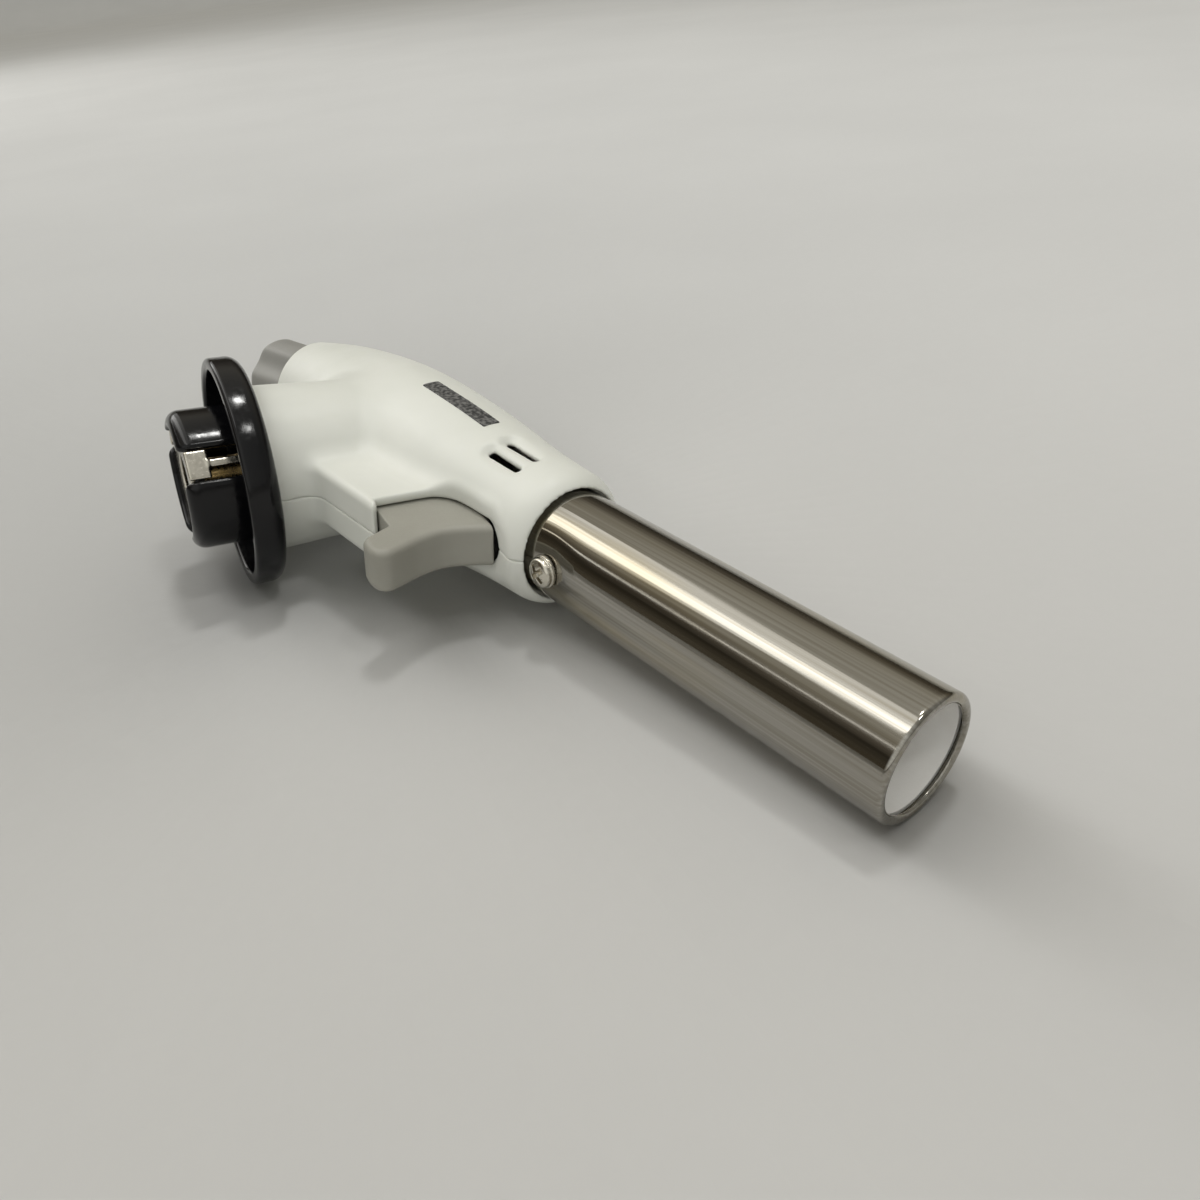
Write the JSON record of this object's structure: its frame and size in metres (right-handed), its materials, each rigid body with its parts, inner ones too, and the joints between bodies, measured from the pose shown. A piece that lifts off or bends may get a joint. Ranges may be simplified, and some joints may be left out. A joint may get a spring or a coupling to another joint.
{
  "type": "butane torch head",
  "caption": "Hand-held butane torch head: bayonet flange for a gas cartridge, moulded body, sprung trigger, flow knob and long metal burner tube.",
  "frame": {"origin": "centre of the base flange's open face, on the cartridge axis", "axes": "+X along the cartridge axis into the body; -Y the side that the trigger and the burner point to; +Z square to the plane of the trigger and the burner, so the housing halves part at Z = 0"},
  "size_m": [0.0898, 0.1999, 0.0482],
  "materials": {
    "housing_white": "fine matte moulded plastic",
    "trigger_grey": "matte moulded plastic",
    "knob_grey": "matte moulded plastic",
    "label_grey": "printed film",
    "black_gloss": "polished moulded plastic",
    "igniter_plastic": "moulded",
    "plunger_plastic": "moulded",
    "seal_rubber": "moulded rubber",
    "lead_insulation": "silicone insulation",
    "nickel_plate": "nickel plated",
    "burner_nickel": "polished nickel plated sheet",
    "bright_steel": "zinc plated",
    "brass": "turned",
    "copper_tube": "drawn",
    "sintered_bronze": "sintered",
    "cast_zinc": "as cast",
    "white_ceramic": "fired ceramic"
  },
  "bodies": {
    "body": {"right_housing": "housing_white", "left_housing": "housing_white", "housing_screws": "bright_steel", "rating_label": "label_grey", "base_flange": "black_gloss", "connector_body": "black_gloss", "bayonet_plate": "nickel_plate", "inlet_nipple": "brass", "inlet_seal": "seal_rubber", "inlet_filter": "sintered_bronze", "connector_screws": "bright_steel", "valve_body": "cast_zinc", "gland_nut": "brass", "gas_pipe": "copper_tube", "jet_holder": "brass", "gas_jet": "brass", "mixing_tube": "bright_steel", "burner_mount": "cast_zinc", "burner_head": "brass", "burner_tube": "burner_nickel", "ceramic_liner": "white_ceramic", "tube_screw": "nickel_plate", "piezo_case": "igniter_plastic", "piezo_spring": "bright_steel", "piezo_hammer": "bright_steel", "piezo_crystal": "white_ceramic", "piezo_terminal": "brass", "ignition_lead": "lead_insulation", "electrode_insulator": "white_ceramic", "electrode": "bright_steel"},
    "knob": {"control_knob": "knob_grey", "knob_screw": "bright_steel", "valve_stem": "bright_steel"},
    "stem_carriage": {"stem_oring": "seal_rubber"},
    "trigger": {"trigger": "trigger_grey"},
    "plunger": {"piezo_plunger": "plunger_plastic"}
  },
  "joints": [
    {"name": "trigger_press", "type": "slide", "parent": "body", "child": "trigger", "axis": [0, 1, 0], "range_m": [0, 0.005], "stiffness_N_per_m": 1500, "springref_m": -0.004},
    {"name": "plunger_press", "type": "slide", "parent": "body", "child": "plunger", "axis": [0, 1, 0], "range_m": [0, 0.005], "deforming": ["piezo_spring"]},
    {"name": "stem_travel", "type": "slide", "parent": "body", "child": "stem_carriage", "axis": [-0.4226, 0.9063, 0], "range_m": [0, 0.00075]},
    {"name": "knob_turn", "type": "hinge", "parent": "stem_carriage", "child": "knob", "pos_m": [0.02892, 0.04953, 0], "axis": [-0.4226, 0.9063, 0], "range_deg": [0, 270]}
  ],
  "couplings": [
    {"joint": "plunger_press", "follows": "trigger_press", "ratio": 1},
    {"joint": "knob_turn", "follows": "stem_travel", "rad_per_m": 6283.2}
  ]
}
